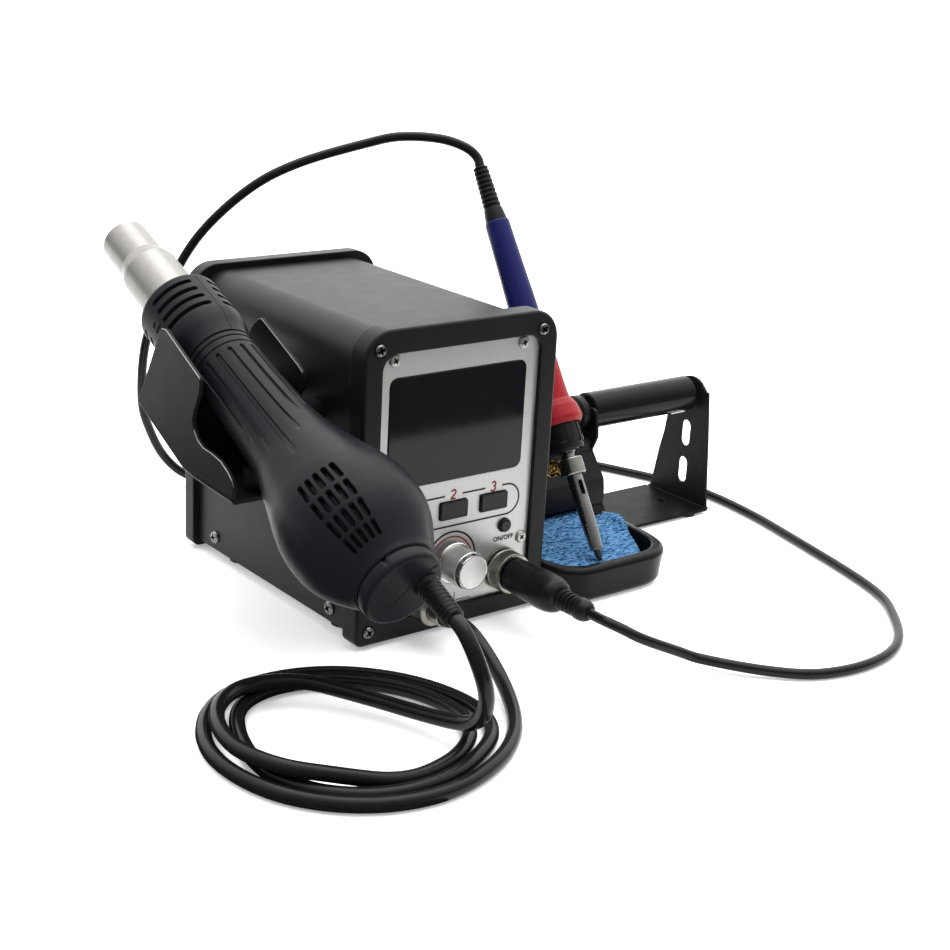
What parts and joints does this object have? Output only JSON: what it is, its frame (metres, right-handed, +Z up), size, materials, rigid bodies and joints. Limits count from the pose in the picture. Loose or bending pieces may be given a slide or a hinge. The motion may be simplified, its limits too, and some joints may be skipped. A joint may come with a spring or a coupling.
{
  "type": "hot_air_rework_station",
  "caption": "Hot air rework station: black box with display and knob, hot air gun in a side cradle, soldering iron on a stand with sponge, brass wool and solder reel roller.",
  "frame": {"origin": "middle of the outline seen from above, on the table, cords left out", "axes": "+X to the right seen from the front of the station, +Y to the rear, +Z up; the front panel faces -Y"},
  "size_m": [0.3936, 0.3688, 0.2034],
  "materials": {
    "case_black": "satin powder coat",
    "zinc_steel": "satin",
    "panel_silver": "fine vertical brushing",
    "display_black": "gloss",
    "board_green": "matt",
    "screw_steel": "polished",
    "screw_black": "satin",
    "rubber_black": "matt",
    "button_black": "satin",
    "knob_aluminium": "spun",
    "nickel": "nickel plate",
    "plastic_black": "satin",
    "core_iron": "matt",
    "plastic_red": "gloss",
    "nozzle_steel": "brushed",
    "ceramic": "matt",
    "gun_plastic": "fine texture",
    "tip_steel": "tinned",
    "silicone_red": "matt silicone",
    "handle_blue": "gloss",
    "brass": "curled ribbon",
    "sponge_blue": "cellulose sponge"
  },
  "bodies": {
    "station": {"cover_shell": "case_black", "base_pan": "zinc_steel", "front_bezel": "case_black", "rear_bezel": "case_black", "rear_panel": "case_black", "front_panel": "panel_silver", "display_window": "display_black", "display_module": "board_green", "panel_screws": "screw_steel", "front_bezel_screws": "screw_black", "rear_bezel_screws": "screw_black", "side_screws": "screw_steel", "station_feet": "rubber_black", "knob_pot": "zinc_steel", "iron_socket": "nickel", "iron_plug": "plastic_black", "hose_gland": "nickel", "gland_relief": "rubber_black", "transformer": "core_iron", "main_board": "board_green", "mains_inlet": "plastic_black", "main_switch": "plastic_black", "gun_hose": "rubber_black", "gun_cradle": "case_black", "cradle_screws": "screw_black", "iron_cord": "rubber_black", "stand_frame": "case_black", "wool_housing": "case_black", "brass_wool": "brass", "iron_rest": "case_black", "roller_axle": "zinc_steel", "sponge_tray": "plastic_black", "sponge": "sponge_blue", "stand_feet": "rubber_black"},
    "gun": {"nozzle_tube": "nozzle_steel", "heater_tube": "nozzle_steel", "heater_core": "ceramic", "gun_head": "gun_plastic", "grip_shell_near": "gun_plastic", "grip_shell_far": "gun_plastic", "gun_tail_cap": "gun_plastic", "gun_relief": "rubber_black", "fan_motor": "zinc_steel", "gun_screws": "screw_black"},
    "gun_fan_rotor": {"gun_fan": "plastic_black"},
    "iron": {"iron_tip": "tip_steel", "iron_barrel": "nozzle_steel", "iron_nut": "nickel", "iron_nose": "plastic_black", "iron_grip": "silicone_red", "iron_handle": "handle_blue", "iron_relief": "rubber_black"},
    "button_1": {"channel_button_1": "button_black"},
    "button_2": {"channel_button_2": "button_black"},
    "button_3": {"channel_button_3": "button_black"},
    "power": {"power_button": "button_black"},
    "knob": {"air_knob": "knob_aluminium"},
    "ring": {"plug_ring": "nickel"},
    "rocker": {"main_rocker": "plastic_red"},
    "roller": {"reel_roller": "plastic_black"}
  },
  "joints": [
    {"name": "button_1_press", "type": "slide", "parent": "station", "child": "button_1", "axis": [0, 1, 0], "range_m": [0, 0.0012], "stiffness_N_per_m": 400},
    {"name": "button_2_press", "type": "slide", "parent": "station", "child": "button_2", "axis": [0, 1, 0], "range_m": [0, 0.0012], "stiffness_N_per_m": 400},
    {"name": "button_3_press", "type": "slide", "parent": "station", "child": "button_3", "axis": [0, 1, 0], "range_m": [0, 0.0012], "stiffness_N_per_m": 400},
    {"name": "power_press", "type": "slide", "parent": "station", "child": "power", "axis": [0, 1, 0], "range_m": [0, 0.0012], "stiffness_N_per_m": 400},
    {"name": "knob_turn", "type": "hinge", "parent": "station", "child": "knob", "pos_m": [-0.0533, -0.0357, 0.0322], "axis": [0, 1, 0], "range_deg": [0, 270]},
    {"name": "ring_turn", "type": "hinge", "parent": "station", "child": "ring", "pos_m": [-0.0238, -0.0327, 0.0231], "axis": [0, 1, 0], "continuous": true},
    {"name": "rocker_tilt", "type": "hinge", "parent": "station", "child": "rocker", "pos_m": [-0.0323, 0.1142, 0.031], "axis": [-1, 0, 0], "range_deg": [0, 18]},
    {"name": "gun_lift", "type": "slide", "parent": "station", "child": "gun", "axis": [0, -0.3771, 0.9262], "range_m": [0, 0.1], "deforming": ["gun_hose"]},
    {"name": "gun_fan_spin", "type": "hinge", "parent": "gun", "child": "gun_fan_rotor", "pos_m": [-0.1363, -0.07012, 0.07804], "axis": [0, -0.9262, -0.3771], "continuous": true},
    {"name": "iron_lift", "type": "slide", "parent": "station", "child": "iron", "axis": [0, 0.5344, 0.8453], "range_m": [0, 0.1], "deforming": ["iron_cord"]},
    {"name": "roller_spin", "type": "hinge", "parent": "station", "child": "roller", "pos_m": [0.1237, 0.0433, 0.064], "axis": [1, 0, 0], "continuous": true}
  ]
}
